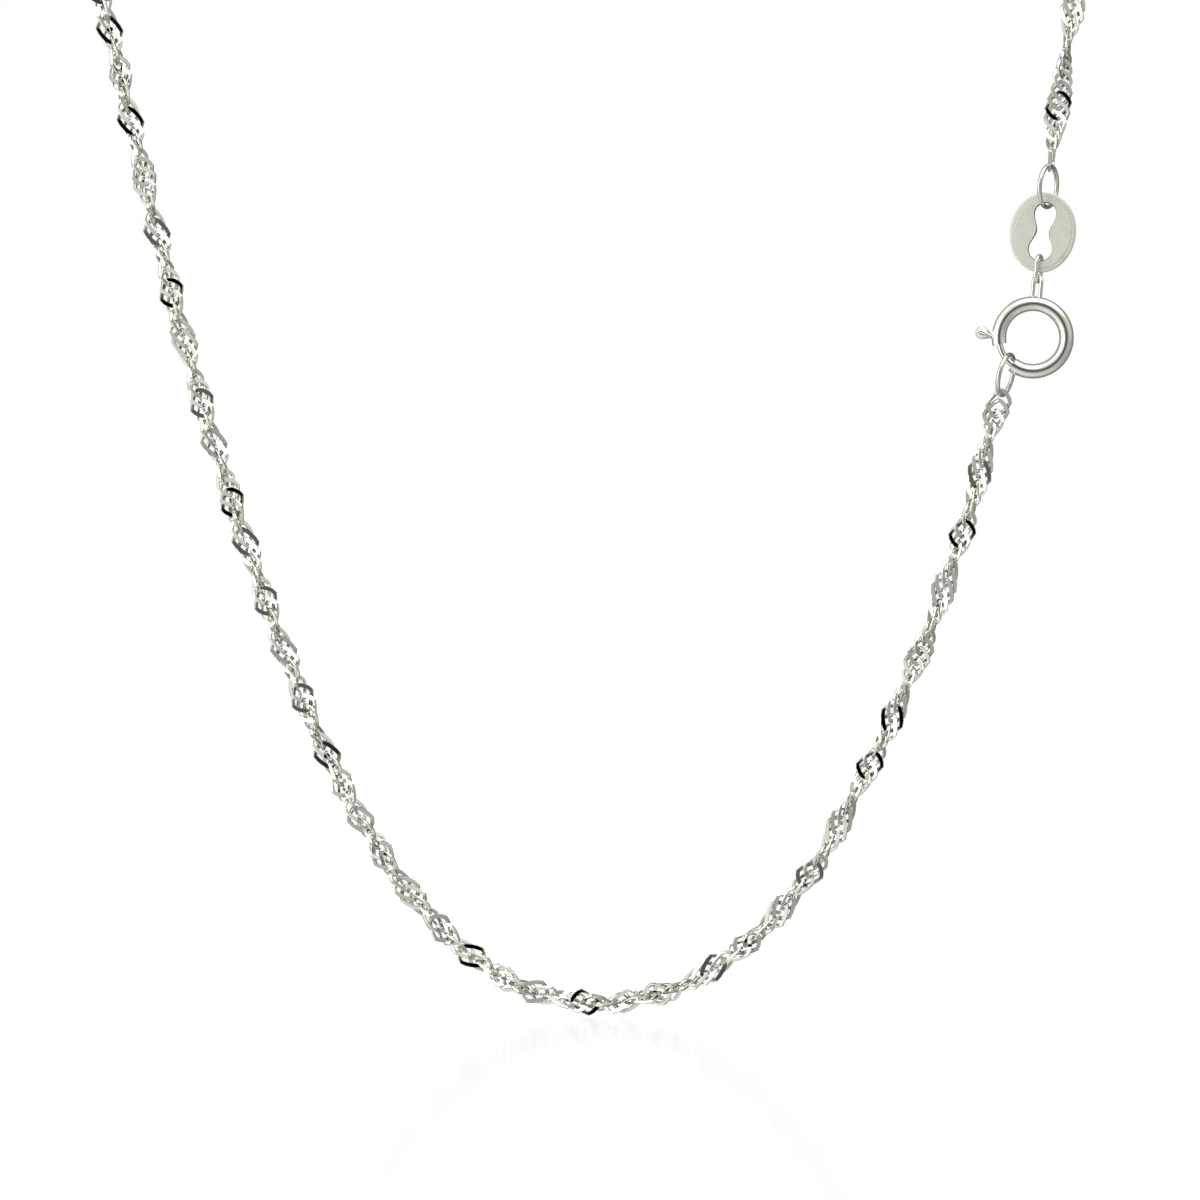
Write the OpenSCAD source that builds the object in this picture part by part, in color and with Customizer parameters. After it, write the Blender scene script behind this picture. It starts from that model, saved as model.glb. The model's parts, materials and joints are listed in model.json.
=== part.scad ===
// Singapore chain necklace with a spring ring clasp and a pierced end tag, in millimetres.
// It hangs as it is worn: the origin is the nape, the front is -Y and the chain's lowest point is below it.
// A leaning piece tips its top towards +X. A turned piece swings its right-hand side back, towards +Y.

/* [Chain] */
// Diameter of the round outline that the twisted links fill
chain_d = 1.6; // [1.3:0.1:1.9]

/* [Spring ring] */
// Outside diameter of the spring ring
clasp_d = 5; // [4.8:0.1:6]
// Diameter of its hollow tube
tube_d = 0.9; // [0.8:0.05:1]
// Diameter of the bore that the bolt slides in
bore_d = 0.48; // [0.44:0.02:0.54]
// Room between the bolt and the bore, all round
bolt_play = 0.05; // [0.04:0.01:0.07]
// Where the gap in the tube begins, in degrees round the ring from its right-hand side
gap_from = 192; // [188:1:196]
// Where the gap in the tube ends
gap_to = 233; // [231:1:236]
// How far the closed bolt reaches past the gap, in degrees
bolt_reach = 4; // [3:1:8]
// Length of the bolt behind its lug, in degrees
bolt_tail = 12; // [8:1:16]

/* [Thumb lug] */
// Where the lug stands when the clasp is shut, in degrees round the ring
lug_at = 178; // [176:1:180]
// Width of the lug's neck along the ring
neck_w = 0.3; // [0.24:0.02:0.36]
// Thickness of the lug's neck, front to back
neck_t = 0.24; // [0.2:0.02:0.3]
// Room between the neck and its slot, on each side
slot_play = 0.05; // [0.04:0.01:0.08]
// Length of the knob that the thumb pushes
knob_l = 0.95; // [0.8:0.05:1.2]
// Width of the knob
knob_w = 0.76; // [0.6:0.04:0.9]
// Thickness of the knob, front to back
knob_t = 0.42; // [0.36:0.02:0.5]
// How far the knob leans up from the lug's own direction, in degrees
knob_lean = 18; // [0:1:24]

/* [Eye and tag link] */
// Outside length of the clasp's eye and of the link above it
link_l = 1.81; // [1.75:0.02:2]
// Outside width of both
link_w = 1.05; // [1.02:0.01:1.2]
// Wire of both
link_wire = 0.25; // [0.22:0.01:0.26]
// How deep the soldered eye sits in the tube of the spring ring
eye_sunk = 0.43; // [0.36:0.01:0.5]

/* [Tag] */
// Width of the oval tag
tag_w = 4; // [3.8:0.1:4.6]
// Height of the tag
tag_h = 4.86; // [4.6:0.02:5.4]
// Thickness of its plate
tag_t = 0.33; // [0.26:0.01:0.35]
// Height of the waisted hole
hole_h = 3.54; // [3.3:0.02:3.6]
// Width of the hole's upper lobe
hole_top_w = 1.33; // [1.3:0.02:1.5]
// Width of the hole's lower lobe
hole_low_w = 1.45; // [1.4:0.02:1.6]
// Width of the hole's waist
waist_w = 0.77; // [0.6:0.02:0.9]
// How far the hole's middle lies above the tag's middle
hole_rise = 0.04; // [0:0.01:0.1]

/* [End rings] */
// Outside diameter of the ring on each end of the chain
ring_d = 2.8; // [2.7:0.05:3.1]
// Wire of both end rings
ring_wire = 0.27; // [0.24:0.01:0.28]

/* [Fit] */
// Slack between the eye and the tag link
link_play = 0.1; // [0.1:0.01:0.14]
// Slack between the tag link and the tag's lower rim
rim_play = 0.18; // [0.15:0.01:0.24]
// Slack between each end ring and what it hangs on
ring_play = 0.12; // [0.1:0.01:0.16]
// Room between the lower end ring and the end of the spring ring's tube
end_play = 0.12; // [0.1:0.01:0.16]
// Room between the chain's ends and the end rings
chain_play = 0.1; // [0.05:0.05:0.3]

/* [Hidden] */
$fn = 64;

// Centre of the spring ring, and how its pieces hang
clasp_c = [26.4, -92, -84.7];
hang_lean = 5;
eye_turn = -58;
link_turn = 64;
tag_lean = 7;
tag_turn = -10;
upper_lean = 6;
upper_turn = 62;
lower_lean = 14;
lower_turn = 68;

// Middle line of the spring ring's tube, the bolt inside it and the bolt's travel
clasp_r = (clasp_d - tube_d) / 2;
bolt_d = bore_d - 2 * bolt_play;
bolt_from = lug_at - bolt_tail;
bolt_to = gap_to + bolt_reach;
bolt_travel = bolt_to - gap_from;
// Half of the slot's length past the lug, in degrees at the tube's outer side
neck_half = (neck_w / 2 + slot_play) / (clasp_d / 2 - tube_d / 4) * 180 / PI;

// Each piece hangs from its neighbour by their lengths, wires and slack
hang = tipped(hang_lean);
eye_c = clasp_c + hang * (clasp_d / 2 + link_l / 2 - eye_sunk);
link_c = eye_c + hang * (link_l - 2 * link_wire - link_play);
tag_c = link_c + hang * (link_l / 2 - link_wire - rim_play) + tipped(tag_lean) * (hole_h / 2 - hole_rise);
upper_c = tag_c + tipped(tag_lean) * (hole_rise + hole_h / 2)
    + tipped(upper_lean) * (ring_d / 2 - ring_wire - ring_play);
hook_at = gap_to - (ring_wire / 2 + end_play) / clasp_r * 180 / PI;
lower_c = clasp_c + clasp_r * [cos(hook_at), 0, sin(hook_at)]
    - tipped(lower_lean) * (ring_d / 2 - ring_wire - bolt_d / 2 - ring_play);

// The chain's route: up the front from the lower end ring, round the neck and down to the upper end ring.
// The front is the stretch that hangs, and the side is one half of the way round the neck.
front = [
    [21.9, -92, -97.3], [18.8, -92, -105.7], [15, -92, -113.6], [12.3, -92, -118], [8.6, -92, -121.8],
    [4.5, -92, -124.2], [0, -92, -125], [-4.4, -92, -124.1], [-8.4, -92, -121.5], [-11.9, -92, -117.6],
    [-15.2, -92, -112.3], [-18.4, -92, -105.2], [-22, -92, -95], [-25.1, -92, -84.6],
    [-27.6, -92, -74.4], [-30, -92, -64]
];
side = [
    [33, -91.6, -50.5], [36, -89.5, -39], [40, -84.5, -28.5], [44.5, -76, -20.5], [47.8, -64.5, -14.6],
    [48.8, -51.5, -10.2], [47, -38, -6.8], [41.8, -25, -4], [32.2, -13.6, -2], [17.6, -4, -0.6]
];
lower_end = lower_c - tipped(lower_lean) * (ring_d / 2 + chain_play);
upper_end = upper_c + tipped(upper_lean) * (ring_d / 2 + chain_play);
route = concat(
    [lower_end], front,
    [for (p = side) [-p.x, p.y, p.z]], [[0, 0, 0]],
    [for (i = [len(side) - 1:-1:0]) side[i]],
    [[29.3, -92, -62.5]], [upper_end]
);
rings_per_span = 2;
chain_sides = 8;

// Direction that leans from straight up towards +X
function tipped(lean) = [sin(lean), 0, cos(lean)];

// Point on the smooth curve through the route, a share t of the way from point i to the next
function between(p, i, t) =
    let (
        last = len(p) - 1,
        a = p[max(i - 1, 0)], b = p[i], c = p[min(i + 1, last)], d = p[min(i + 2, last)]
    )
    0.5 * (2 * b + (c - a) * t + (2 * a - 5 * b + 4 * c - d) * t * t + (3 * b - a - 3 * c + d) * t * t * t);

function unit(v) = v / norm(v);

// Directions along the curve at each of its points
function headings(p) = [for (i = [0:len(p) - 1]) unit(p[min(i + 1, len(p) - 1)] - p[max(i - 1, 0)])];

// Side directions that follow the curve without twisting round it
function carried(h, i = 0, v = [0, 1, 0]) =
    i == len(h) ? [] : let (w = unit(v - (v * h[i]) * h[i])) concat([w], carried(h, i + 1, w));

// A round tube swept along a curve, as one closed surface
module swept_tube(curve, d, sides) {
    h = headings(curve);
    s = carried(h);
    n = len(curve);
    points = [
        for (i = [0:n - 1], k = [0:sides - 1])
            curve[i] + d / 2 * (cos(360 * k / sides) * s[i] + sin(360 * k / sides) * cross(h[i], s[i]))
    ];
    walls = [
        for (i = [0:n - 2], k = [0:sides - 1])
            let (k2 = (k + 1) % sides, a = i * sides, b = a + sides)
            each [[a + k, b + k, b + k2], [a + k, b + k2, a + k2]]
    ];
    caps = [[for (k = [0:sides - 1]) k], [for (k = [sides - 1:-1:0]) (n - 1) * sides + k]];
    polyhedron(points, concat(walls, caps), convexity = 10);
}

// Stands a flat piece up facing the front, turns it about its upright line, leans it and moves it to c
module hung(c, lean, turn) {
    translate(c) rotate([0, lean, 0]) rotate([0, 0, turn]) rotate([90, 0, 0]) children();
}

module round_ring(d, wire) {
    rotate_extrude() translate([(d - wire) / 2, 0]) circle(d = wire);
}

// A link of round wire with straight sides and half-round ends
module oval_link(l, w, wire) {
    r = (w - wire) / 2;
    straight = l - w;
    for (end = [0, 1]) rotate(180 * end) {
        translate([0, straight / 2]) rotate_extrude(angle = 180) translate([r, 0]) circle(d = wire);
        translate([r, straight / 2]) rotate([90, 0, 0]) cylinder(d = wire, h = straight);
    }
}

// Round bar or bore bent along the spring ring's middle line between two angles
module bent_bar(d, from, to) {
    rotate([0, 0, from]) rotate_extrude(angle = to - from) translate([clasp_r, 0]) circle(d = d);
}

module chain() {
    spans = len(route) - 1;
    curve = [
        for (i = [0:spans - 1], j = [0:rings_per_span - 1]) between(route, i, j / rings_per_span),
        route[spans]
    ];
    color("gainsboro") swept_tube(curve, chain_d, chain_sides);
}

module end_ring_lower() {
    color("silver") hung(lower_c, lower_lean, lower_turn) round_ring(ring_d, ring_wire);
}

module end_ring_upper() {
    color("silver") hung(upper_c, upper_lean, upper_turn) round_ring(ring_d, ring_wire);
}

// The hole narrows from its two round lobes to the waist along a smooth curve
module waisted_hole() {
    steps = 24;
    top_y = hole_h / 2 - hole_top_w / 2;
    low_y = -hole_h / 2 + hole_low_w / 2;
    right = [
        for (i = [0:steps])
            let (t = i / steps, lobe = (hole_low_w + (hole_top_w - hole_low_w) * t) / 2)
            [lobe - (lobe - waist_w / 2) * pow(sin(180 * t), 2), low_y + (top_y - low_y) * t]
    ];
    left = [for (i = [steps:-1:0]) [-right[i].x, right[i].y]];
    translate([0, top_y]) circle(d = hole_top_w);
    translate([0, low_y]) circle(d = hole_low_w);
    polygon(concat(right, left));
}

module tag() {
    color("lightgray") hung(tag_c, tag_lean, tag_turn)
        linear_extrude(tag_t, center = true) difference() {
            scale([tag_w / tag_h, 1]) circle(d = tag_h);
            translate([0, hole_rise]) waisted_hole();
        }
}

module tag_link() {
    color("silver") hung(link_c, hang_lean, link_turn) oval_link(link_l, link_w, link_wire);
}

// Hollow tube with its soldered eye, open at the gap and slotted for the lug's travel
module clasp_ring() {
    slot_from = lug_at - bolt_travel - neck_half;
    slot_to = lug_at + neck_half;
    slot_h = neck_t + 2 * slot_play;
    color("silver") difference() {
        union() {
            hung(clasp_c, 0, 0) bent_bar(tube_d, gap_to, 360 + gap_from);
            hung(eye_c, hang_lean, eye_turn) oval_link(link_l, link_w, link_wire);
        }
        hung(clasp_c, 0, 0) {
            rotate_extrude() translate([clasp_r, 0]) circle(d = bore_d);
            rotate([0, 0, slot_from]) rotate_extrude(angle = slot_to - slot_from)
                translate([clasp_r, -slot_h / 2]) square([tube_d, slot_h]);
        }
    }
}

// Curved bolt with the lug that draws it back, in one piece
module clasp_bolt() {
    neck_r = clasp_d / 2 + slot_play;
    knob_c = knob_l - knob_w / 2;
    color("whitesmoke") hung(clasp_c, 0, 0) {
        bent_bar(bolt_d, bolt_from, bolt_to);
        rotate([0, 0, lug_at]) {
            translate([clasp_r, -neck_w / 2, -neck_t / 2]) cube([neck_r - clasp_r + neck_w / 2, neck_w, neck_t]);
            translate([neck_r, 0, 0]) rotate([0, 0, -knob_lean]) {
                translate([knob_c, 0, 0]) cylinder(d = knob_w, h = knob_t, center = true);
                linear_extrude(knob_t, center = true) polygon([
                    [0, -neck_w / 2], [knob_c, -knob_w / 2], [knob_c, knob_w / 2], [0, neck_w / 2]
                ]);
            }
        }
    }
}

chain();
end_ring_lower();
end_ring_upper();
tag();
tag_link();
clasp_ring();
clasp_bolt();
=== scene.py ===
"""A singapore chain necklace: twisted diamond-cut links, a spring ring clasp and a small oval tag.

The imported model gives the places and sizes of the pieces. Lengths are in metres and the front faces -Y.
"""

import json
import math

import bpy
import numpy as np
from bpy.props import FloatProperty, FloatVectorProperty, IntProperty, PointerProperty
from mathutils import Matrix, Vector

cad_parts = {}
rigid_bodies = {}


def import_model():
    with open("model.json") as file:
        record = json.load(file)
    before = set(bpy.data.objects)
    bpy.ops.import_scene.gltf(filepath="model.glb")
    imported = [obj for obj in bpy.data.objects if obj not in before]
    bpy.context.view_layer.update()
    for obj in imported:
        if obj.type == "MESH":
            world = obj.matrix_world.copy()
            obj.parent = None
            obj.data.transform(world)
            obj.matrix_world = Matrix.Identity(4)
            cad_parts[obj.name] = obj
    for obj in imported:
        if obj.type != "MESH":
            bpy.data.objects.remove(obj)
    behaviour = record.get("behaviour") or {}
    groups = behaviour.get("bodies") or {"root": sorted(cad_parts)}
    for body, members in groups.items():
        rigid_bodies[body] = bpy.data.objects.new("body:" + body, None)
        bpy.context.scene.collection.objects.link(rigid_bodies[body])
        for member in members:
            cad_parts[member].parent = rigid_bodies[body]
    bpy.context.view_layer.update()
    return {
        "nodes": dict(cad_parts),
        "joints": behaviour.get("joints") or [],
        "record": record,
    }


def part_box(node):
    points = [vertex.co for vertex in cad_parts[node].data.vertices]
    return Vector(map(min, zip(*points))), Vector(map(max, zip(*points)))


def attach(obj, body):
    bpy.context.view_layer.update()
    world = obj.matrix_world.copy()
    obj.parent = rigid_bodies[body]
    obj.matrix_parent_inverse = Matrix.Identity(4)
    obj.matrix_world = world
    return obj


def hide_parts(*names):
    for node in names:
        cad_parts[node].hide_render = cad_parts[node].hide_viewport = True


for left_over in list(bpy.data.objects):
    bpy.data.objects.remove(left_over)
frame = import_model()

bl_info = {
    "name": "Singapore Chain Necklace",
    "version": (1, 0, 0),
    "blender": (4, 5, 0),
    "location": "3D View > Sidebar > Necklace",
    "description": "Builds the links, rings, tag and clasp of a twisted neck chain",
    "category": "Add Mesh",
}

MM = 0.001
FINISHES = {m["slot"]: m["base_color"] for m in frame["record"]["materials"]}
CLASP_CENTRE = np.array(frame["joints"][0]["pos_m"])
TURN = 2 * math.pi

# The chain's route, from the lower end ring up the front, round the neck and down to the upper end ring
SIDE = MM * np.array([
    [33, -91.6, -50.5], [36, -89.5, -39], [40, -84.5, -28.5], [44.5, -76, -20.5], [47.8, -64.5, -14.6],
    [48.8, -51.5, -10.2], [47, -38, -6.8], [41.8, -25, -4], [32.2, -13.6, -2], [17.6, -4, -0.6],
])
ROUTE = np.concatenate([
    MM * np.array([
        [24.411, -92, -88.422],
        [21.9, -92, -97.3], [18.8, -92, -105.7], [15, -92, -113.6], [12.3, -92, -118], [8.6, -92, -121.8],
        [4.5, -92, -124.2], [0, -92, -125], [-4.4, -92, -124.1], [-8.4, -92, -121.5], [-11.9, -92, -117.6],
        [-15.2, -92, -112.3], [-18.4, -92, -105.2], [-22, -92, -95], [-25.1, -92, -84.6],
        [-27.6, -92, -74.4], [-30, -92, -64],
    ]),
    SIDE * [-1, 1, 1], [[0, 0, 0]], SIDE[::-1],
    MM * np.array([[29.3, -92, -62.5], [27.500, -92, -74.048]]),
])

# Distances along the chain at which the twist shows a link's edge to the front, from the lower end
EDGE_ON = MM * np.array([
    2.4, 6.75, 9.9, 14.2, 18.2, 22.15, 25.6, 29.5, 32.2, 35.5, 38.6, 41.5, 44.1, 46.7, 49.5, 51.8, 53.8,
    56.0, 58.8, 62.0, 64.6, 67.0, 69.1, 72.0, 75.2, 78.7, 81.9, 85.8, 88.8, 91.6, 95.0, 98.6, 101.7,
    105.0, 108.7, 112.0, 114.6, 117.0,
])
# The same for the last stretch, counted back from the upper end
EDGE_ON_LAST = MM * np.array([7.8, 0.45])
# Place of the first link, with its count of half turns
START, START_COUNT = 0.29 * MM, -0.14
# Length of a half turn of the twist where nothing shows it, and the spread of the window that smooths it
HALF_TURN, SMOOTHING = 3.31 * MM, 0.7 * MM
# Half turns in which a link lies square to the front, with its distance along the chain in millimetres
SQUARE_ON = {
    2: 8.68, 5: 20.2, 6: 23.75, 14: 47.5, 17: 55.05, 23: 70.15, 28: 86.85, 32: 99.8, 35: 110.5, 37: 115.9,
}
# The same for half turns in which a link lies nearly square
NEARLY_SQUARE = {1: 4.6, 8: 30.95, 11: 39.6, 24: 73.75, 26: 80.3, 27: 83.9, 30: 93.0, 33: 103.7}
# Distance of the last square link from the upper end
LAST_SQUARE_ON = 3.65 * MM
# Tilt of a nearly square link and the least tilt of any other, in half turns
NEAR_TILT, LEAST_TILT = 7 / 180, 13 / 180
# Distance over which the neighbours of a link that is turned follow it
REACH = 1.1 * MM
# Half turns from one link to the next: less or more than this and the links would touch
LEAST_AND_MOST_TWIST = (15 / 180, 50 / 180)
# The hidden stretch begins this far from the lower end and ends this far from the upper end
HIDDEN_FROM, HIDDEN_TO = 130 * MM, 30 * MM
# Share by which the cutter's pressure widens the wire
SPREAD = 1.12
# Masks that place the links' painted shade.
# Sides of a link's section from the outer top to the outer bottom: those left round, and the inner ones
ROUND_SIDES, INNER_SIDES = np.array([1, 0, 1, 1, 0, 1.0]), np.array([0, 0, 1, 1, 0, 0.0])

# Places of the thumb lug and of the bolt's two ends round the clasp, and the lean of the knob, in degrees
LUG_AT, BOLT_FROM, BOLT_TO, KNOB_LEAN = 178, 166, 237, 18
# End rings: name, CAD node, lean, turn and place of the soldered joint in degrees
END_RINGS = (
    ("ring_of_lower_end", "end_ring_lower", 14, 68, 35),
    ("ring_of_upper_end", "end_ring_upper", 6, 62, 160),
)

# The silver in the photograph is a little warmer than the record's plain values
WARMTH = (1.008, 1.0, 0.935)
# Share of their colour that the tumbled tag and the drawn wire of the end rings keep
TUMBLED, DRAWN = 0.91, 0.9
# Painted shade: dark colour painted into the tag's punched hole and groove and into the links' corners
PAINTED_SHADE = (0.1, 0.1, 0.09, 1.0)

# Strength of the floor's own glow, and the share of it that mirrors the chain
GLOW, MIRRORED = 1.065, 0.18
# Light of the tent by the angle from the direction of the camera: degrees and level
TENT = (
    (0, 0.0), (7, 0.0), (11, 0.1), (16, 0.31), (30, 0.5), (46, 0.84), (66, 1.02), (95, 0.6), (115, 0.28),
    (135, 0.14), (150, 0.3), (165, 0.9), (172, 1.0),
)
# Side of the tent that is lit more, and by how much
LIT_SIDE, LIT_MORE = (-0.85, 0, 0.5), 0.42
# Panels of the tent: direction, half angle and softness in degrees, and light added
PANELS = (((0.3, -0.4, 1), 34, 6, 1.1), ((-1, -0.7, 0.1), 24, 6, 0.7), ((1, -0.5, -0.4), 22, 8, -0.22))


# ---------------------------------------------------------------- sizes and colours

def length(name, description, millimetres):
    """A length that a user can change, given in millimetres and kept in metres."""
    return FloatProperty(name=name, description=description, default=millimetres * MM, min=0.0,
                         precision=6, unit="LENGTH")


def colour(name, description, slot):
    """A colour that a user can change, which starts as the record's colour for that material slot."""
    return FloatVectorProperty(name=name, description=description, default=FINISHES[slot], size=3,
                               min=0.0, max=1.0, subtype="COLOR")


class ChainSizes(bpy.types.PropertyGroup):
    """Sizes of the twisted links."""

    spacing: length("Link Spacing", "Distance from one link's middle to the next along the chain", 0.63)
    end_inset: length("End Inset", "Distance from the route's end to the middle of the end link", 0.29)
    half_length: length("Half Length", "Half of the link's length, to the middle of its wire", 0.827)
    half_width: length("Half Width", "Half of the link's width, to the middle of its wire", 0.701)
    wire: length("Wire Radius", "Radius of the link's wire before it is cut", 0.115)
    cut: length("Cut Height", "Height above the link's middle plane at which the cutter stops", 0.096)
    link_points: IntProperty(name="Points a Link", default=16, min=12, max=16,
                             description="Number of wire sections round a link, a multiple of four")
    tint: colour("Colour", "Colour of the cut silver", "cut_silver")


class FindingSizes(bpy.types.PropertyGroup):
    """Sizes of the end rings, the tag and the small link above the clasp."""

    ring_outside: length("Ring Diameter", "Outside diameter of the end rings", 2.8)
    ring_wire: length("Ring Wire", "Wire diameter of the end rings", 0.29)
    link_long: length("Link Length", "Outside length of the tag link", 1.81)
    link_wide: length("Link Width", "Outside width of the tag link", 1.05)
    link_wire: length("Link Wire", "Wire diameter of the tag link", 0.25)
    tag_wide: length("Tag Width", "Width of the oval tag", 4.0)
    tag_high: length("Tag Height", "Height of the oval tag", 4.86)
    tag_thick: length("Tag Thickness", "Thickness of the tag's plate", 0.33)
    tag_bevel: length("Tag Bevel", "Width of the bevelled band along the tag's rim", 0.22)
    wire_tint: colour("Wire Colour", "Colour of the rings' wire", "wire_silver")
    tag_tint: colour("Tag Colour", "Colour of the tag", "tag_silver")


class ClaspSizes(bpy.types.PropertyGroup):
    """Sizes of the spring ring's bolt and thumb lug."""

    middle_radius: length("Ring Radius", "Radius of the middle line of the spring ring's tube", 2.05)
    outer_radius: length("Outer Radius", "Radius of the spring ring's outside", 2.5)
    bolt_wire: length("Bolt Diameter", "Diameter of the bolt", 0.38)
    neck_wide: length("Neck Width", "Width of the thumb lug's neck", 0.3)
    neck_thick: length("Neck Thickness", "Thickness of the thumb lug's neck, front to back", 0.24)
    knob_long: length("Knob Length", "Length of the thumb lug's knob", 0.95)
    knob_wide: length("Knob Width", "Width of the thumb lug's knob", 0.76)
    knob_thick: length("Knob Thickness", "Thickness of the knob, front to back", 0.42)
    tint: colour("Colour", "Colour of the spring ring", "clasp_silver")


class StudioSizes(bpy.types.PropertyGroup):
    """Sizes of the stage."""

    floor_width: FloatProperty(name="Floor Width", description="Width and depth of the pale floor",
                               default=8.0, unit="LENGTH")
    floor_gap: length("Floor Gap", "Gap between the chain's lowest point and the floor", 0.05)
    brightness: FloatProperty(name="Brightness", description="Strength of the studio light", default=1.0)


# ---------------------------------------------------------------- surfaces

def grid_faces(rows, columns, close_rows=True, close_columns=True):
    """Faces of a grid of points counted row by row: face (i, j) joins (i, j), (i, j+1), (i+1, j+1), (i+1, j),
    and the last row or column joins the first where that way round is closed."""
    i = np.arange(rows if close_rows else rows - 1)[:, None]
    j = np.arange(columns if close_columns else columns - 1)[None, :]
    i2, j2 = (i + 1) % rows, (j + 1) % columns
    corners = [i * columns + j, i * columns + j2, i2 * columns + j2, i2 * columns + j]
    return np.stack(corners, -1).reshape(-1, 4)


def volume(points, faces):
    """Volume inside a closed surface: a sixth of the sum of a . (b x c) over the triangles of its faces."""
    fans = [faces[:, [0, k, k + 1]] for k in range(1, faces.shape[1] - 1)]
    a, b, c = (points[np.concatenate(fans)[:, k]] for k in range(3))
    return np.einsum("ij,ij->", a, np.cross(b, c)) / 6


def shell(points, faces, caps=()):
    """A closed surface as (points, list of face arrays), its faces turned outwards. Caps are triangles."""
    parts = [np.asarray(f) for f in [faces, *caps]]
    total = sum(volume(points - points.mean(0), f) for f in parts)
    return points, [f if total > 0 else f[:, ::-1] for f in parts]


def make_piece(name, shells, material, flat_faces=None, attributes=None, sharp_angle=None):
    """One object at the origin from closed surfaces, each (points, face arrays), all with one material.
    Its faces are shaded smooth but for the flat ones and the edges that are sharper than an angle."""
    points, faces, base = [], [], 0
    for shell_points, shell_faces in shells:
        points.append(shell_points)
        faces += [row for part in shell_faces for row in (part + base).tolist()]
        base += len(shell_points)
    mesh = bpy.data.meshes.new(name)
    mesh.from_pydata(np.concatenate(points).tolist(), [], faces)
    smooth = np.ones(len(faces), bool) if flat_faces is None else ~flat_faces
    mesh.polygons.foreach_set("use_smooth", smooth)
    for key, values in (attributes or {}).items():
        mesh.attributes.new(key, "FLOAT", "FACE").data.foreach_set("value", values.astype(np.float32))
    mesh.materials.append(material)
    mesh.update()
    if sharp_angle is not None:
        mark_sharp(mesh, math.radians(sharp_angle))
    piece = bpy.data.objects.new(name, mesh)
    bpy.context.scene.collection.objects.link(piece)
    return piece


def mark_sharp(mesh, angle):
    """Marks the edges at which two faces turn by more than an angle, and leaves the faces' shading."""
    smooth = np.zeros(len(mesh.polygons), bool)
    mesh.polygons.foreach_get("use_smooth", smooth)
    mesh.set_sharp_from_angle(angle=angle)
    mesh.polygons.foreach_set("use_smooth", smooth)


def unit(vectors):
    """Vectors scaled to length one along the last axis."""
    return vectors / np.linalg.norm(vectors, axis=-1, keepdims=True)


def hung(points, centre, lean, turn):
    """Stands a flat piece up facing the front, turns its right-hand side back by the turn, tips its top
    towards +X by the lean, both in degrees, and moves it to its centre."""
    x, y, z = points[..., 0], -points[..., 2], points[..., 1]
    t, l = math.radians(turn), math.radians(lean)
    x, y = x * math.cos(t) - y * math.sin(t), x * math.sin(t) + y * math.cos(t)
    x, z = x * math.cos(l) + z * math.sin(l), z * math.cos(l) - x * math.sin(l)
    return np.stack([x, y, z], -1) + centre


def middle_of(node):
    """Middle of a CAD node's box, which is the centre of a piece that is alike on both sides."""
    low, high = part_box(node)
    return (np.array(low) + np.array(high)) / 2


def round_section(sides):
    """Angles of the points of a round wire's section."""
    return np.arange(sides) / sides * TURN


# ---------------------------------------------------------------- chain

def smooth_route(points, steps=240):
    """The smooth curve through the route's points, a Catmull-Rom curve as in the CAD source:
    half of 2b + (c-a)t + (2a-5b+4c-d)t^2 + (3b-a-3c+d)t^3 between b and c."""
    a = points[np.maximum(np.arange(len(points) - 1) - 1, 0)][:, None]
    b, c = points[:-1, None], points[1:, None]
    d = points[np.minimum(np.arange(len(points) - 1) + 2, len(points) - 1)][:, None]
    t = (np.arange(steps) / steps)[None, :, None]
    curve = 0.5 * (2 * b + (c - a) * t + (2 * a - 5 * b + 4 * c - d) * t**2 + (3 * b - a - 3 * c + d) * t**3)
    return np.concatenate([curve.reshape(-1, 3), points[-1:]])


def along(curve):
    """Distance along a curve at each of its points."""
    return np.concatenate([[0], np.cumsum(np.linalg.norm(np.diff(curve, axis=0), axis=1))])


def at(wanted, distances, values):
    """Values between the samples of a curve, one column at a time."""
    return np.stack([np.interp(wanted, distances, values[:, k]) for k in range(values.shape[1])], -1)


def half_turns(distance, total):
    """Number of half turns of the twist at each distance. It passes i + 0.5 at the i-th edge-on place, goes
    evenly round the back, and is smoothed by a bell-shaped window, e^(-d^2 / 2 s^2). Then single links are
    turned to the tilts that the front shows."""
    hidden = round((total - EDGE_ON_LAST[0] - EDGE_ON[-1]) / HALF_TURN)
    shown = len(EDGE_ON)
    places = np.concatenate([[START], EDGE_ON, total - EDGE_ON_LAST])
    counts = np.concatenate([[START_COUNT], np.arange(shown) + 0.5, shown - 0.5 + hidden + np.arange(2)])
    spare = 5 * MM
    fine = np.linspace(-spare, total + spare, 12000)
    rough = np.interp(fine, places, counts)
    rough = np.where(fine < places[0], (fine - places[0]) / HALF_TURN, rough)
    rough = np.where(fine > places[-1], counts[-1] + (fine - places[-1]) / HALF_TURN, rough)
    window = np.exp(-0.5 * (np.arange(-3 * MM, 3 * MM, fine[1] - fine[0]) / SMOOTHING) ** 2)
    even = np.convolve(np.pad(rough, len(window) // 2, mode="reflect", reflect_type="odd"),
                       window / window.sum(), mode="valid")[:len(fine)]
    return tilted(np.interp(distance, fine, even), distance, total, shown + hidden)


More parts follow.
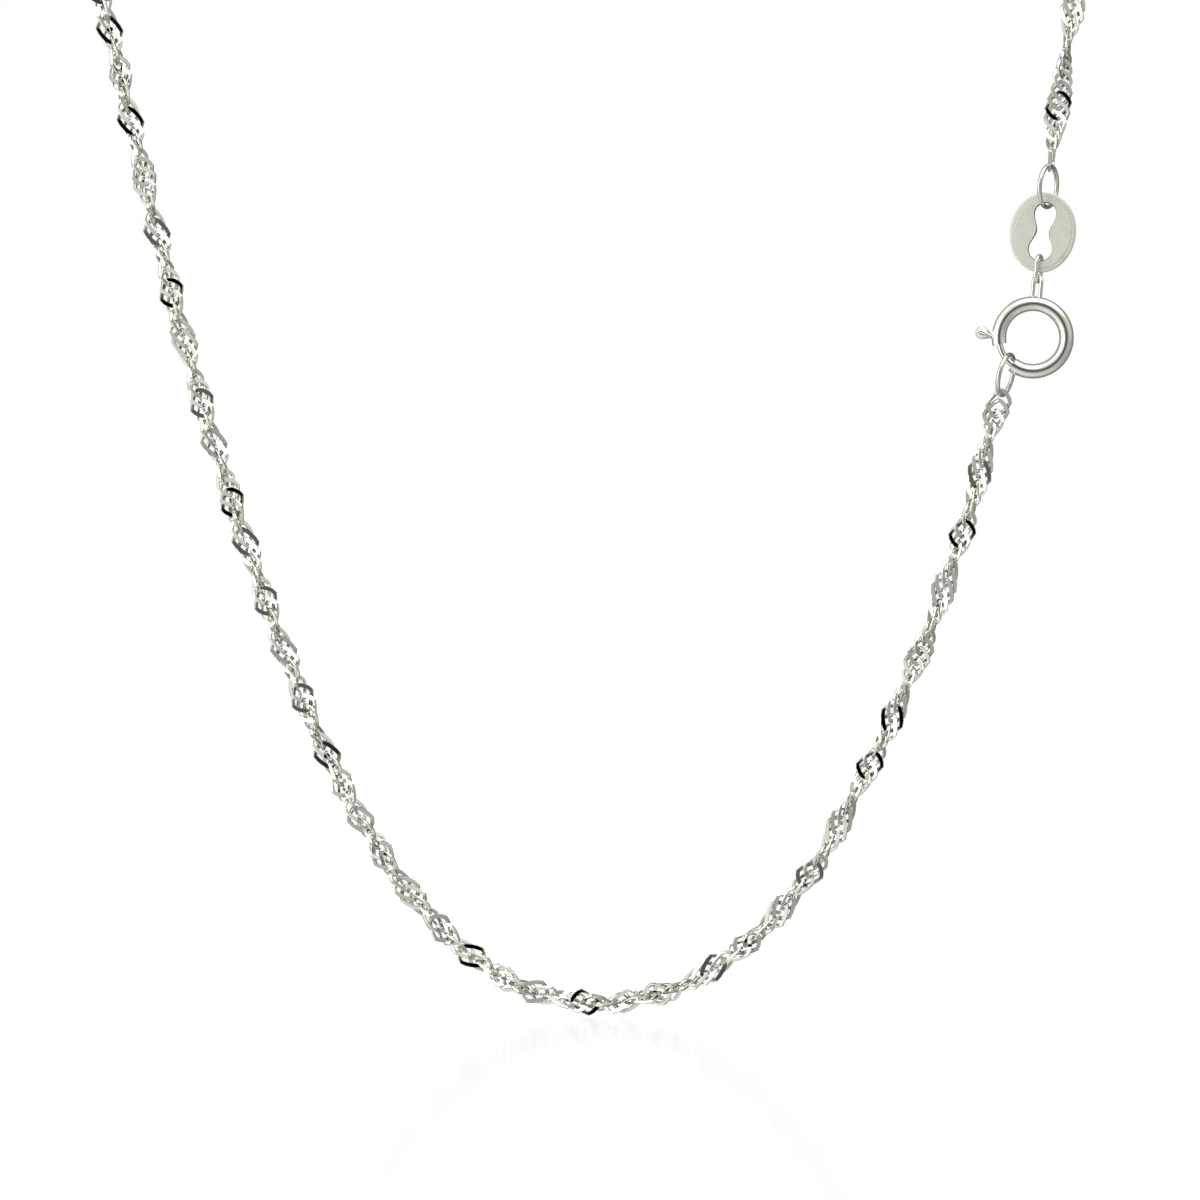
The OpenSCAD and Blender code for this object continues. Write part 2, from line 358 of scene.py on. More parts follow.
def tilted(turns, distance, total, last):
    """Half turns with single links turned, and their neighbours less and less, by e^(-(d / reach)^2). The
    links named as square or nearly square get no tilt or the near tilt, and in any other half turn the link
    nearest to square is turned away to the least tilt. After each round a step between links that is outside
    the least and most twist is cut to it, and what is cut is spread over seven steps."""
    named = {n: (place * MM, 0.0) for n, place in SQUARE_ON.items()}
    named.update({n: (place * MM, NEAR_TILT) for n, place in NEARLY_SQUARE.items()})
    named[last] = (total - LAST_SQUARE_ON, 0.0)
    for _ in range(12):
        for n in (*range(1, len(EDGE_ON)), last):
            if n in named:
                place, tilt = named[n]
                nearest = np.argmin(np.abs(distance - place))
                error = n - turns[nearest] + tilt
            else:
                nearest = np.argmin(np.abs(turns - n))
                error = n - turns[nearest]
                if abs(error) > LEAST_TILT:
                    continue
                error -= math.copysign(LEAST_TILT, error)
            turns = turns + error * np.exp(-((distance - distance[nearest]) / REACH) ** 2)
        steps = np.diff(turns)
        even_steps = np.clip(steps, *LEAST_AND_MOST_TWIST)
        even_steps += np.convolve(steps - even_steps, np.full(7, 1 / 7), mode="same")
        turns = turns[0] + np.concatenate([[0], np.cumsum(even_steps)])
    return turns


def link_line(angle, half_length, half_width):
    """Middle line of one link's wire at an angle round it, x along the chain. Its outline is a rounded
    diamond: x = A cos^(2/n), r = B sin^(2/m). It is bent so that its ends lie across each other:
    y and z turn by an angle that goes with x, and h = c2 sin 2t + c4 sin 4t lifts the sides in turn. The lean
    shifts x by a share of r, and the skew shifts y by a share of x."""
    bend, n, m, lean, skew, c2, c4 = 0.245, 1.3, 1.35, -0.36, 0.071, -0.116 * MM, -0.001 * MM
    c, s = np.cos(angle), np.sin(angle)
    x = half_length * np.sign(c) * np.abs(c) ** (2 / n)
    r = half_width * np.sign(s) * np.abs(s) ** (2 / m)
    h = c2 * np.sin(2 * angle) + c4 * np.sin(4 * angle)
    t, x = bend * c, x + lean * r
    return np.stack([x, r * np.cos(t) - h * np.sin(t) + skew * x, r * np.sin(t) + h * np.cos(t)], -1)


def one_link(sizes):
    """Points of one link as a grid. Each section of the wire is a six-sided ring about the middle line, and
    every quarter of the line has as many sections. The cutter takes both faces of the link level, at cut
    above and below its middle plane: where the wire's top, h + r, stands higher, its flat is 2 r sin f wide
    with cos f = (cut - h) / r, so that each flat is widest where the side stands highest and ends in
    points. The cutter's pressure widens the wire."""
    angle = np.linspace(0, TURN, 1441)
    line = link_line(angle, sizes.half_length, sizes.half_width)
    distance = along(line)
    quarters = np.interp([0, 0.25, 0.5, 0.75, 1.0], angle / TURN, distance)
    share = np.arange(sizes.link_points // 4) * 4 / sizes.link_points
    place = (quarters[:-1, None] + np.diff(quarters)[:, None] * share).ravel()
    middle = at(place, distance, line)
    heading = unit(np.roll(middle, -1, 0) - np.roll(middle, 1, 0))
    flat_heading = unit(heading * [1, 1, 0])
    out = np.stack([flat_heading[:, 1], -flat_heading[:, 0], np.zeros(len(middle))], -1)
    out *= np.sign((out * middle).sum(-1, keepdims=True))
    up = np.array([0, 0, 1.0])
    h, r = middle[:, 2], sizes.wire
    blunt = math.cos(math.radians(15))
    top = np.arccos(np.clip((sizes.cut - h) / r, 0.2, blunt))
    low = np.arccos(np.clip((sizes.cut + h) / r, 0.2, blunt))
    rise = np.minimum(r * np.cos(top), sizes.cut - h)
    fall = np.minimum(r * np.cos(low), sizes.cut + h)
    zero = np.zeros_like(h)
    sideways = SPREAD * np.stack([r + zero, r * np.sin(top), -r * np.sin(top), -r + zero, -r * np.sin(low),
                                  r * np.sin(low)], 1)
    upwards = np.stack([zero, rise, rise, zero, -fall, -fall], 1)
    return middle[:, None] + sideways[..., None] * out[:, None] + upwards[..., None] * up


def lay_links(sizes):
    """Points of all links: each link's x follows the curve, and its y and z turn about it by the twist.
    The side direction starts as +Y made square to the curve, and is turned back by the angle through
    which that direction winds round the curve, so that the links don't twist with the neck's bends. The angle
    that is left at the upper end is taken out evenly over the hidden stretch. Gives one link's points too."""
    curve = smooth_route(ROUTE)
    distance = along(curve)
    total = distance[-1]
    heading = unit(np.gradient(curve, distance, axis=0))
    back = np.array([0.0, 1.0, 0.0])
    side = unit(back - (heading @ back)[:, None] * heading)
    up = np.cross(heading, side)
    winding = -np.cumsum((np.gradient(side, axis=0) * up).sum(-1))
    winding -= winding[0]
    winding -= winding[-1] * np.clip((distance - HIDDEN_FROM) / (total - HIDDEN_FROM - HIDDEN_TO), 0, 1)
    count = int(round((total - 2 * sizes.end_inset) / sizes.spacing)) + 1
    place = np.linspace(sizes.end_inset, total - sizes.end_inset, count)
    turn = math.pi * (half_turns(place, total) + 0.5) + np.interp(place, distance, winding)
    centre, t = at(place, distance, curve), unit(at(place, distance, heading))
    u = at(place, distance, side)
    u = unit(u - (u * t).sum(-1, keepdims=True) * t)
    v = np.cross(t, u)
    c, s = np.cos(turn)[:, None], np.sin(turn)[:, None]
    axes = np.stack([t, c * u + s * v, c * v - s * u], 1)
    link = one_link(sizes)
    return np.einsum("nmk,lkj->lnmj", link, axes) + centre[:, None, None], link


def painted_link_shades(link, half_length):
    """Painted shade of each face of a link: a little on its inner sides, and more on all round sides
    towards the link's two ends, as 0.24 at most and |x| / half length - 0.5 before that."""
    near_end = np.abs(link[:, :, 0].mean(1)) / half_length
    return INNER_SIDES * 0.05 + np.clip(near_end - 0.5, 0, 0.24)[:, None] * ROUND_SIDES


def build_chain(sizes, material):
    """The chain as one mesh of links, each a closed ring of wire. The level faces of each are cut."""
    points, link = lay_links(sizes)
    count, rows, columns = points.shape[:3]
    _, (faces,) = shell(link.reshape(-1, 3), grid_faces(rows, columns))
    every = (faces[None] + (np.arange(count) * rows * columns)[:, None, None]).reshape(-1, 4)
    a, b, c = (link.reshape(-1, 3)[faces[:, k]] for k in (0, 1, 3))
    level = np.abs(unit(np.cross(b - a, c - a))[:, 2]) > 0.99
    cut = np.tile(level, count)
    # Painted shade: a share of dark colour for each face, most where the links interlock at their ends
    crevice = np.tile(painted_link_shades(link, sizes.half_length).ravel(), count)
    return make_piece("twisted_links", [(points.reshape(-1, 3), [every])], material, flat_faces=cut,
                      attributes={"cut": cut, "crevice": crevice}, sharp_angle=32)


# ---------------------------------------------------------------- rings, link and tag

def wire_ring(outline, wire, sides=20, joint_at=None):
    """A closed wire carried along a flat closed outline: point (i, j) is the outline's point plus the wire's
    radius along cos(j) outwards and sin(j) to the front. At the joint the wire is drawn in by 5 per cent, and
    beside it by less, as e^(-(d / 0.02 mm)^2)."""
    heading = unit(np.roll(outline, -1, 0) - np.roll(outline, 1, 0))
    front = np.array([0.0, 0.0, 1.0])
    out = np.cross(heading, front)
    a = round_section(sides)
    radius = np.full(len(outline), wire / 2)
    if joint_at is not None:
        gap = np.linalg.norm(outline - outline[joint_at], axis=1)
        radius = radius * (1 - 0.05 * np.exp(-(gap / (0.02 * MM)) ** 2))
    around = np.cos(a)[:, None] * out[:, None] + np.sin(a)[:, None] * front
    return outline[:, None] + radius[:, None, None] * around


def shares_round(count):
    """Shares of the way round from the joint, closer together on both sides of it: the count's share u less
    0.9 sin(2 pi u) / 2 pi."""
    share = np.arange(count) / count
    return share - 0.9 * np.sin(TURN * share) / TURN


def round_outline(radius, joint_angle, count=96):
    """Points of a circle from the joint once round."""
    a = joint_angle + shares_round(count) * TURN
    return radius * np.stack([np.cos(a), np.sin(a), np.zeros(count)], -1)


def oval_outline(long, wide, joint_share, count=96):
    """Points of an oval of two half circles and two straight sides, from the joint once round."""
    r, straight = wide / 2, long - wide
    total = math.pi * wide + 2 * straight
    s = ((shares_round(count) + joint_share) % 1.0) * total
    arc = math.pi * r
    a = np.clip(s, 0, arc) / r
    b = np.clip(s - arc - straight, 0, arc) / r
    down = np.clip(s - arc, 0, straight)
    up = np.clip(s - 2 * arc - straight, 0, straight)
    x = r * np.cos(a + b)
    y = r * np.sin(a + b) + straight / 2 - down + up
    return np.stack([x, y, np.zeros(count)], -1)


def build_end_ring(name, node, lean, turn, joint_angle, sizes, material):
    """A round wire ring with its soldered joint, in the place of the CAD ring."""
    outline = round_outline((sizes.ring_outside - sizes.ring_wire) / 2, math.radians(joint_angle))
    grid = wire_ring(outline, sizes.ring_wire, joint_at=0)
    points = hung(grid, middle_of(node), lean, turn).reshape(-1, 3)
    return make_piece(name, [shell(points, grid_faces(*grid.shape[:2]))], material)


def build_tag_link(sizes, material):
    """The small oval link between the tag and the clasp's eye."""
    outline = oval_outline(sizes.link_long - sizes.link_wire, sizes.link_wide - sizes.link_wire,
                           joint_share=0.39)
    grid = wire_ring(outline, sizes.link_wire, joint_at=0)
    points = hung(grid, middle_of("tag_link"), lean=5, turn=64).reshape(-1, 3)
    return make_piece("oval_link", [shell(points, grid_faces(*grid.shape[:2]))], material)


def hole_outline(count):
    """Outline of the waisted hole about the tag's middle, evenly spaced: two round lobes, and sides whose
    half width is the lobe's less its difference from the waist's times sin^2 of half a turn's share."""
    high, top_wide, low_wide, waist, rise = (MM * v for v in (3.54, 1.33, 1.45, 0.77, 0.04))
    top_y, low_y = high / 2 - top_wide / 2, -high / 2 + low_wide / 2
    t = np.linspace(0, 1, 200)
    lobe = (low_wide + (top_wide - low_wide) * t) / 2
    side = np.stack([lobe - (lobe - waist / 2) * np.sin(math.pi * t) ** 2, low_y + (top_y - low_y) * t], -1)
    a = np.linspace(0, math.pi, 120)[1:-1]
    top = np.stack([top_wide / 2 * np.cos(a), top_y + top_wide / 2 * np.sin(a)], -1)
    low = np.stack([low_wide / 2 * np.cos(a + math.pi), low_y + low_wide / 2 * np.sin(a + math.pi)], -1)
    line = np.concatenate([side, top, side[::-1] * [-1, 1], low, side[:1]]) + [0, rise]
    distance = along(line)
    return at(np.arange(count) / count * distance[-1], distance, line)


def build_tag(sizes, material):
    """The tag's plate: each column runs from the hole's wall over the front face and the bevelled rim
    round to the back, between the hole's outline and the point of the oval in the same direction. A shallow
    groove parts the face from the bevel. The hole's wall and edges and the groove get painted shade."""
    count = 180
    hole = hole_outline(count)
    direction = unit(hole)
    a, b = sizes.tag_wide / 2, sizes.tag_high / 2
    rim = direction / np.sqrt((direction[:, :1] / a) ** 2 + (direction[:, 1:] / b) ** 2)
    half, bevel = sizes.tag_thick / 2, sizes.tag_bevel
    edge, drop, groove = 0.04 * MM, 0.022 * MM, 0.005 * MM
    q = np.radians([0, 30, 60, 90])
    # Each row: 0 from the hole's outline or 1 from the rim, its distance from that, and its height
    inner = [(0, edge * (1 - math.sin(k)), half - edge * (1 - math.cos(k))) for k in q[::-1]]
    flat = [(0, 0.07 * MM, half), (0, 0.2 * MM, half), (1, bevel + 0.12 * MM, half),
            (1, bevel + 0.022 * MM, half), (1, bevel + 0.01 * MM, half - groove), (1, bevel, half - groove),
            (1, bevel - 0.02 * MM, half - 0.003 * MM)]
    outer = [(1, edge * 1.6 * (1 - math.sin(k)), half - drop - edge * 1.2 * (1 - math.cos(k))) for k in q]
    front = inner + flat + outer
    rows = np.array(front + [(s, d, -z) for s, d, z in front[::-1]])
    way = unit(rim - hole)
    start = np.where(rows[:, :1, None] > 0.5, rim[None], hole[None])
    sign = np.where(rows[:, 0] > 0.5, -1.0, 1.0)
    flat_points = start + (sign * rows[:, 1])[:, None, None] * way[None]
    z = np.broadcast_to(rows[:, 2, None, None], flat_points.shape[:2] + (1,))
    grid = np.concatenate([flat_points, z], -1)
    points = hung(grid, middle_of("tag"), lean=8.5, turn=-10).reshape(-1, 3)
    last = len(rows) - 1
    # Painted shade: the hole's wall and its rounded edges are painted fully dark, the groove at 0.45 of it
    edge_faces, groove_faces = np.arange(3), np.arange(7, 9)
    wall = np.zeros(len(rows))
    wall[[*edge_faces, *(last - 1 - edge_faces), last]] = 1.0
    wall[[*groove_faces, *(last - 1 - groove_faces)]] = 0.45
    return make_piece("pierced_tag", [shell(points, grid_faces(*grid.shape[:2]))], material,
                      attributes={"wall": np.repeat(wall, count)}, sharp_angle=40)


# ---------------------------------------------------------------- clasp

def bent_bar(radius, wire, from_angle, to_angle, sides=24, rows=60):
    """A round bar bent round the clasp's middle with domed ends: its radius near each end is that of a
    half circle, and one point closes each end."""
    bar = (to_angle - from_angle) * radius
    s = np.linspace(0, math.pi, rows)
    place = bar * (1 - np.cos(s)) / 2
    dome = wire / 2
    near = np.minimum(np.minimum(place, bar - place) / dome, 1.0)
    section = dome * np.sqrt(np.clip(1 - (1 - near) ** 2, 0, 1))
    angle = from_angle + place / radius
    out = np.stack([np.cos(angle), np.sin(angle), np.zeros(rows)], -1)
    a = round_section(sides)
    line = radius * out
    inner = slice(1, -1)
    body = line[inner, None] + section[inner, None, None] * (
        np.cos(a)[:, None] * out[inner, None] + np.sin(a)[:, None] * np.array([0, 0, 1.0]))
    return closed_ends(body, line[0], line[-1])


def closed_ends(body, first, last):
    """A grid that is closed round its columns and closed at both ends by one point each."""
    rows, columns = body.shape[:2]
    points = np.concatenate([body.reshape(-1, 3), [first, last]])
    j = np.arange(columns)
    j2 = (j + 1) % columns
    start = np.stack([np.full(columns, rows * columns), j2, j], -1)
    base = (rows - 1) * columns
    end = np.stack([np.full(columns, rows * columns + 1), base + j, base + j2], -1)
    return points, grid_faces(rows, columns, close_rows=False), (start, end)


def swept_section(stations, half_wide, half_thick, power, sides=28, crease=0.0):
    """A bar along x whose section is a rounded lozenge, y = w cos^(2/p), z = t sin^(2/p), closed by a point
    at each end. The crease draws the section's top and bottom in along a line."""
    a = round_section(sides)
    c, s = np.cos(a), np.sin(a)
    y = np.sign(c) * np.abs(c) ** (2 / power)
    z = np.sign(s) * np.abs(s) ** (2 / power) * (1 - crease * np.exp(-(c / 0.12) ** 2))
    x = np.broadcast_to(stations[:, None], (len(stations), sides))
    body = np.stack([x, half_wide[:, None] * y, half_thick[:, None] * z], -1)
    first, last = [stations[0], 0, 0], [stations[-1], 0, 0]
    return closed_ends(body[1:-1], first, last)


def turned(degrees):
    """Matrix that turns rows of points about z by an angle."""
    c, s = math.cos(math.radians(degrees)), math.sin(math.radians(degrees))
    return np.array([[c, s, 0], [-s, c, 0], [0, 0, 1]])


def build_bolt(sizes, material):
    """The bolt with its neck and the leaf-shaped knob that the thumb pushes. The knob's half width swells
    from the neck's by sin^1.5 of a quarter turn's share, and ends in a half circle."""
    bar = bent_bar(sizes.middle_radius, sizes.bolt_wire, math.radians(BOLT_FROM), math.radians(BOLT_TO))
    neck_from, neck_to = sizes.middle_radius, sizes.outer_radius + 0.2 * MM
    x = np.linspace(neck_from, neck_to, 8)
    full = np.ones(len(x))
    neck = swept_section(x, full * sizes.neck_wide / 2, full * sizes.neck_thick / 2, 5)
    long, r = sizes.knob_long, sizes.knob_wide / 2
    middle = long - r
    share = (1 - np.cos(np.linspace(0, math.pi, 26))) / 2
    sunk = 0.06 * MM
    x = -sunk + (long + sunk) * share
    round_part = np.sqrt(np.clip(r**2 - (x - middle) ** 2, 0, None))
    swell = np.sin(math.pi / 2 * np.clip(x / middle, 0, 1)) ** 1.5
    taper = sizes.neck_wide / 2 + (r - sizes.neck_wide / 2) * swell
    wide = np.where(x < middle, taper, round_part)
    thick = sizes.knob_thick / 2 * np.clip(1.15 * (wide / r) ** 0.55, 0.25, 1)
    points, faces, caps = swept_section(x, wide, thick, 1.45, sides=40, crease=0.16)
    knob = points @ turned(-KNOB_LEAN) + [sizes.outer_radius + 0.05 * MM, 0, 0]
    out = turned(LUG_AT)
    shells = []
    for points, faces, caps in (bar, (neck[0] @ out, neck[1], neck[2]), (knob @ out, faces, caps)):
        shells.append(shell(hung(points, CLASP_CENTRE, lean=0, turn=0), faces, caps))
    return make_piece("bolt_and_knob", shells, material, sharp_angle=50)


# ---------------------------------------------------------------- finishes

class Socket:
    """A shader socket in plain arithmetic: each operator adds one Math node and gives its result."""

    def __init__(self, bench, socket):
        self.bench, self.socket = bench, socket

    def math(self, operation, *terms):
        """The result of a Math node on the terms."""
        return self.bench.node("ShaderNodeMath", {"operation": operation}, dict(enumerate(terms)))

    def __add__(self, other):
        return self.math("ADD", self, other)

    __radd__ = __add__

    def __sub__(self, other):
        return self.math("SUBTRACT", self, other)

    def __rsub__(self, other):
        return self.math("SUBTRACT", other, self)

    def __mul__(self, other):
        return self.math("MULTIPLY", self, other)

    __rmul__ = __mul__


class Bench:
    """The node tree of one material or of the world."""

    def __init__(self, owner):
        owner.use_nodes = True
        self.tree = owner.node_tree
        self.tree.nodes.clear()

    def node(self, kind, settings=None, sockets=None, out=0):
        """Adds a node, makes its settings, fills its sockets with values or links, and gives one output."""
        node = self.tree.nodes.new(kind)
        for key, value in (settings or {}).items():
            if key == "stops":
                self.set_stops(node.color_ramp, value)
            else:
                setattr(node, key, value)
        for key, value in (sockets or {}).items():
            if isinstance(value, Socket):
                self.tree.links.new(value.socket, node.inputs[key])
            else:
                node.inputs[key].default_value = value
        return Socket(self, node.outputs[out]) if len(node.outputs) else None

    @staticmethod
    def set_stops(ramp, stops):
        """Stops of a colour ramp from (position, grey level or colour) pairs."""
        while len(ramp.elements) < len(stops):
            ramp.elements.new(0.5)
        for element, (position, level) in zip(ramp.elements, stops):
            element.position = position
            rgb = (level,) * 3 if isinstance(level, (int, float)) else tuple(level)
            element.color = (*rgb, 1.0)

    def mix(self, factor, a, b):
        """A colour between two colours."""
        return self.node("ShaderNodeMix", {"data_type": "RGBA"}, {0: factor, 6: a, 7: b}, out=2)


def silver(name, tint, rough, tarnish, grain, bump, metal=1.0, cut_attribute=None, painted_shade_attribute=None):
    """Polished silver: its roughness wanders with a fine noise of that grain, a thin tarnish darkens it in
    soft patches, and tiny dents and scratches tip its normal. What its metal lacks to 1 is the pale haze of
    handling. Faces with the cut attribute are brighter and smoother, and faces take painted shade, a dark
    colour mixed into the base by the share that the painted shade attribute gives."""
    tint = tuple(c * w for c, w in zip(tint, WARMTH))
    tarnished = tuple(c * f for c, f in zip(tint, (0.93, 0.92, 0.88)))
    material = bpy.data.materials.new(name)
    bench = Bench(material)
    place = bench.node("ShaderNodeTexCoord", out=3)
    fine = bench.node("ShaderNodeTexNoise", None,
                      {"Vector": place, "Scale": grain, "Detail": 3.0, "Roughness": 0.6})
    patches = bench.node("ShaderNodeTexNoise", None,
                         {"Vector": place, "Scale": grain * 0.12, "Detail": 2.0, "Roughness": 0.5})
    stretched = bench.node("ShaderNodeMapping", None, {"Vector": place, "Scale": (1.0, 1.0, 9.0)})
    hairs = bench.node("ShaderNodeTexNoise", None,
                       {"Vector": stretched, "Scale": grain * 1.7, "Detail": 1.0, "Roughness": 0.4})
    dull = 1.0
    if cut_attribute:
        cut = bench.node("ShaderNodeAttribute", {"attribute_name": cut_attribute}, out=2)
        dull = 1.0 - cut * 0.75
    patch = bench.node("ShaderNodeValToRGB", {"stops": [(0.35, 0.0), (0.75, 1.0)]}, {"Fac": patches})
    amount = bench.node("ShaderNodeMath", {"operation": "MULTIPLY"}, {0: patch, 1: tarnish})
    base = bench.mix(amount * dull, (*tint, 1.0), (*tarnished, 1.0))
    # Painted shade: the base colour is mixed towards a dark colour by the attribute's share
    if painted_shade_attribute:
        shade = bench.node("ShaderNodeAttribute", {"attribute_name": painted_shade_attribute}, out=2)
        base = bench.mix(shade, base, PAINTED_SHADE)
    height = (fine * 0.6 + hairs * 0.4) * dull
    normal = bench.node("ShaderNodeBump", None, {"Strength": bump, "Distance": 0.01 * MM, "Height": height})
    surface = bench.node("ShaderNodeBsdfPrincipled", None, {
        "Base Color": base, "Metallic": metal, "Normal": normal,
        "Roughness": dull * (rough + (fine - 0.5) * rough * 0.9)})
    bench.node("ShaderNodeOutputMaterial", None, {"Surface": surface})
    return material


# ---------------------------------------------------------------- stage

def build_camera():
    """The camera of the photograph: level with the front of the loop, with a long lens."""
    lens = bpy.data.cameras.new("camera")
    lens.lens, lens.sensor_width = 200.0, 36.0
    lens.clip_start = 0.05
    camera = bpy.data.objects.new("camera", lens)
    camera.location = (0.18 * MM, -496 * MM, -100.606 * MM)
    camera.rotation_euler = (math.pi / 2, 0, 0)
    bpy.context.scene.collection.objects.link(camera)
    bpy.context.scene.camera = camera
    bpy.context.scene.view_settings.view_transform = "Standard"


def build_studio(studio):
    """A white floor that mirrors the chain faintly, and a soft white tent of light with a dark opening
    at the front, where the camera stands. The camera itself sees the tent as plain white."""
    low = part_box("chain")[0].z - studio.floor_gap
    half = studio.floor_width / 2
    mesh = bpy.data.meshes.new("floor")
    mesh.from_pydata([(-half, -half, low), (half, -half, low), (half, half, low), (-half, half, low)],
                     [], [(0, 1, 2, 3)])
    floor = bpy.data.objects.new("floor", mesh)
    bpy.context.scene.collection.objects.link(floor)
    paper = bpy.data.materials.new("white_acrylic")
    bench = Bench(paper)
    glow = bench.node("ShaderNodeEmission", None, {"Color": (1, 1, 1, 1), "Strength": GLOW})
    gloss = bench.node("ShaderNodeBsdfGlossy", None, {"Roughness": 0.1})
    mixed = bench.node("ShaderNodeMixShader", None, {0: MIRRORED, 1: glow, 2: gloss})
    bench.node("ShaderNodeOutputMaterial", None, {"Surface": mixed})
    mesh.materials.append(paper)

    floor.visible_glossy = False
    world = bpy.data.worlds.new("light_tent")
    bpy.context.scene.world = world
    bench = Bench(world)
    way = bench.node("ShaderNodeTexCoord", out=0)

    def facing(x, y, z):
        """Cosine of the angle between the looked-at point of the tent and a direction."""
        size = math.sqrt(x * x + y * y + z * z)
        return bench.node("ShaderNodeVectorMath", {"operation": "DOT_PRODUCT"},
                          {0: way, 1: (x / size, y / size, z / size)}, out=1)

    def panel(direction, half_angle, soft):
        """A soft-edged round panel: 1 inside its half angle and 0 outside it, both in degrees."""
        inside, outside = (math.cos(math.radians(half_angle + k * soft)) for k in (-1, 1))
        return bench.node("ShaderNodeMapRange", {"interpolation_type": "SMOOTHSTEP"}, {
            "Value": facing(*direction), "From Min": outside, "From Max": inside})

    front = facing(0, -1, 0)
    half_circles = front.math("ARCCOSINE", front) * (1 / math.pi)
    stops = [(degrees / 180, level) for degrees, level in TENT]
    tent = bench.node("ShaderNodeValToRGB", {"stops": stops}, {"Fac": half_circles})
    level = tent * (1.0 + LIT_MORE * facing(*LIT_SIDE))
    for direction, half_angle, soft, light in PANELS:
        level = level + light * panel(direction, half_angle, soft)
    seen = bench.node("ShaderNodeLightPath", out=0)
    power = seen + (1.0 - seen) * level * studio.brightness
    light = bench.node("ShaderNodeBackground", None, {"Color": (1, 1, 1, 1), "Strength": power})
    bench.node("ShaderNodeOutputWorld", None, {"Surface": light})


# ---------------------------------------------------------------- operators

class NECKLACE_OT_camera(bpy.types.Operator):
    """Stand the camera in front of the chain."""

    bl_idname = "necklace.camera"
    bl_label = "Stand Camera"

    def execute(self, context):
        build_camera()
        return {"FINISHED"}


class NECKLACE_OT_chain(bpy.types.Operator):
    """Lay the twisted, diamond-cut links along the chain's route."""

    bl_idname = "necklace.chain"
    bl_label = "Lay Chain"

    def execute(self, context):
        sizes = context.scene.chain_sizes
        # The chain's finish paints dark shade onto the links' inner sides and towards their ends
        finish = silver("cut_silver", sizes.tint, 0.11, 0.5, 5200.0, 0.15, cut_attribute="cut",
                        painted_shade_attribute="crevice")
        chain = build_chain(sizes, finish)
        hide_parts("chain")
        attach(chain, "necklace")
        return {"FINISHED"}


class NECKLACE_OT_rings(bpy.types.Operator):
    """Bend the round wire rings on the chain's two ends."""

    bl_idname = "necklace.rings"
    bl_label = "Bend End Rings"

    def execute(self, context):
        sizes = context.scene.finding_sizes
        tint = [DRAWN * c for c in sizes.wire_tint]
        finish = silver("ring_wire", tint, 0.2, 0.9, 4200.0, 0.3, metal=0.95)
        for name, node, lean, turn, joint in END_RINGS:
            ring = build_end_ring(name, node, lean, turn, joint, sizes, finish)
            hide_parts(node)
            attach(ring, "necklace")
        return {"FINISHED"}


class NECKLACE_OT_tag_link(bpy.types.Operator):
    """Bend the oval link that holds the tag to the clasp's eye."""

    bl_idname = "necklace.tag_link"
    bl_label = "Bend Tag Link"

    def execute(self, context):
        sizes = context.scene.finding_sizes
        finish = silver("link_wire", sizes.wire_tint, 0.16, 0.6, 4600.0, 0.3, metal=0.85)
        link = build_tag_link(sizes, finish)
        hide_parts("tag_link")
        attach(link, "necklace")
        return {"FINISHED"}


class NECKLACE_OT_tag(bpy.types.Operator):
    """Cut the bare oval tag with its waisted hole."""

    bl_idname = "necklace.tag"
    bl_label = "Cut Tag"

    def execute(self, context):
        sizes = context.scene.finding_sizes
        tint = [TUMBLED * c for c in sizes.tag_tint]
        # The tag's finish paints dark shade into the hole's wall and edges and into the groove
        finish = silver("tag_silver", tint, 0.58, 0.3, 3000.0, 0.2, metal=0.85, painted_shade_attribute="wall")
        tag = build_tag(sizes, finish)
        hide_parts("tag")
        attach(tag, "necklace")
        return {"FINISHED"}


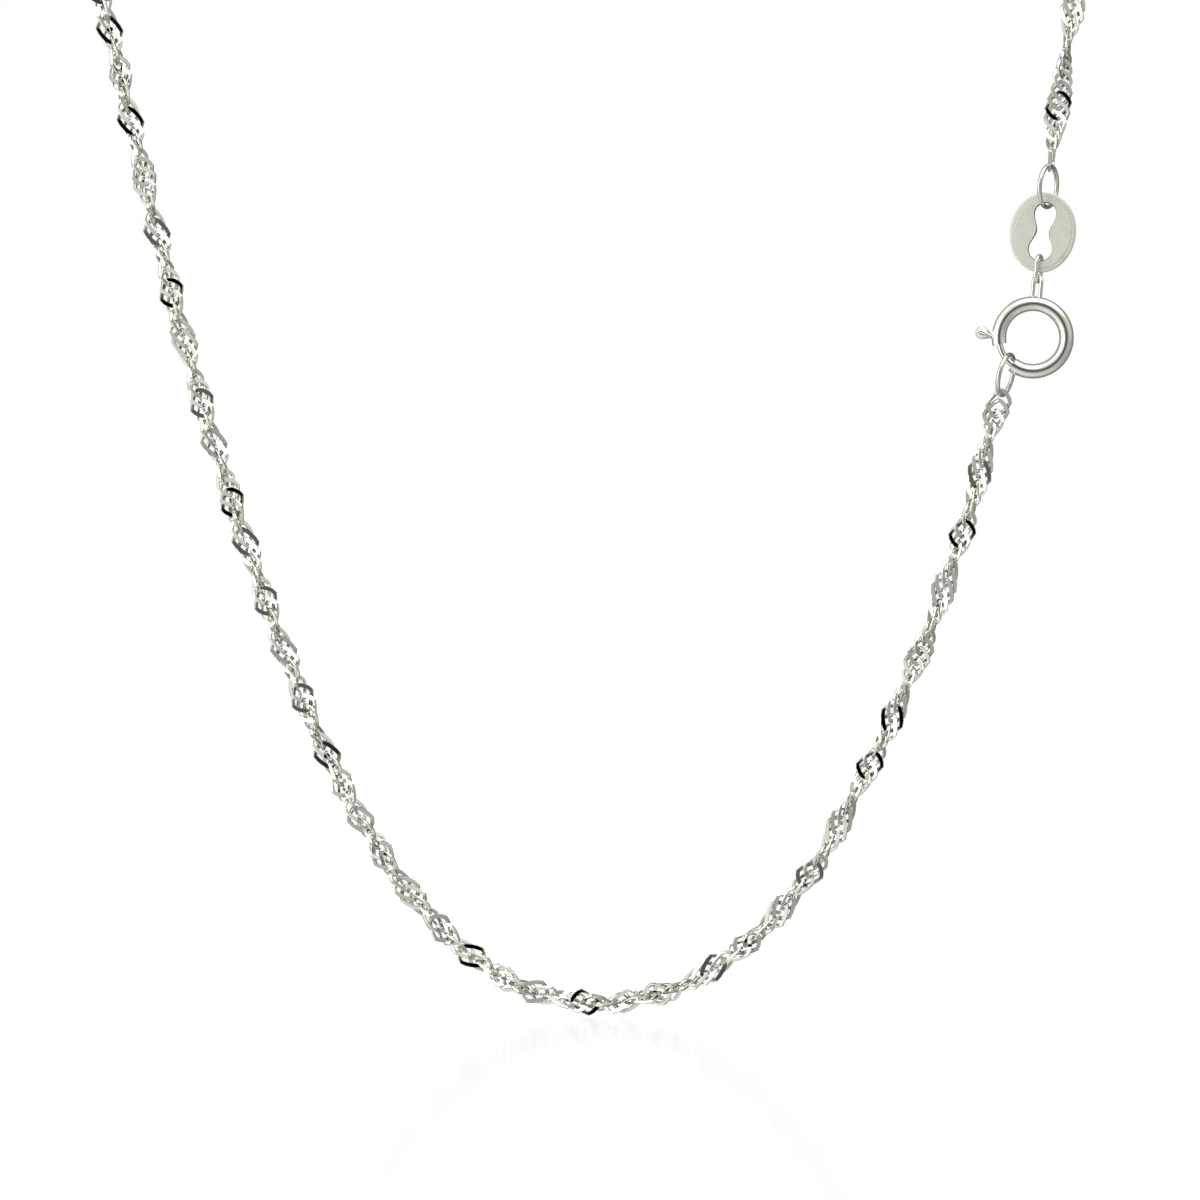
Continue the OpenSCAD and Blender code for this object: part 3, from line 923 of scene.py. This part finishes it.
class NECKLACE_OT_clasp(bpy.types.Operator):
    """Finish the spring ring's tube, and make its bolt with the thumb knob."""

    bl_idname = "necklace.clasp"
    bl_label = "Fit Clasp"

    def execute(self, context):
        sizes = context.scene.clasp_sizes
        finish = silver("clasp_silver", sizes.tint, 0.05, 0.5, 3600.0, 0.2, metal=0.93)
        for slot in frame["nodes"]["clasp_ring"].material_slots:
            slot.material = finish
        bolt = build_bolt(sizes, silver("bolt_silver", sizes.tint, 0.09, 0.6, 3600.0, 0.3))
        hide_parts("clasp_bolt")
        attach(bolt, "bolt")
        return {"FINISHED"}


class NECKLACE_OT_studio(bpy.types.Operator):
    """Lay the white floor and put up the light tent."""

    bl_idname = "necklace.studio"
    bl_label = "Set Stage"

    def execute(self, context):
        build_studio(context.scene.studio_sizes)
        return {"FINISHED"}


class NECKLACE_PT_panel(bpy.types.Panel):
    """The necklace's sizes and the steps that build it."""

    bl_idname = "NECKLACE_PT_panel"
    bl_label = "Singapore Chain Necklace"
    bl_space_type = "VIEW_3D"
    bl_region_type = "UI"
    bl_category = "Necklace"

    def draw(self, context):
        for step in STEPS:
            self.layout.operator(step.bl_idname)
        for holder in GROUPS:
            group = getattr(context.scene, holder)
            box = self.layout.box()
            for key in group.bl_rna.properties.keys():
                if key not in ("rna_type", "name"):
                    box.prop(group, key)


GROUPS = {
    "chain_sizes": ChainSizes, "finding_sizes": FindingSizes, "clasp_sizes": ClaspSizes,
    "studio_sizes": StudioSizes,
}
STEPS = (
    NECKLACE_OT_camera, NECKLACE_OT_chain, NECKLACE_OT_rings, NECKLACE_OT_tag_link, NECKLACE_OT_tag,
    NECKLACE_OT_clasp, NECKLACE_OT_studio,
)


def register():
    """Registers the classes and gives the scene its groups of sizes."""
    for cls in (*GROUPS.values(), *STEPS, NECKLACE_PT_panel):
        bpy.utils.register_class(cls)
    for holder, cls in GROUPS.items():
        setattr(bpy.types.Scene, holder, PointerProperty(type=cls))


def unregister():
    """Takes the groups off the scene and removes the classes."""
    for holder in GROUPS:
        delattr(bpy.types.Scene, holder)
    for cls in reversed((*GROUPS.values(), *STEPS, NECKLACE_PT_panel)):
        bpy.utils.unregister_class(cls)


def main():
    register()
    for step in STEPS:
        group, name = step.bl_idname.split(".")
        getattr(getattr(bpy.ops, group), name)()


if __name__ == "__main__":
    main()
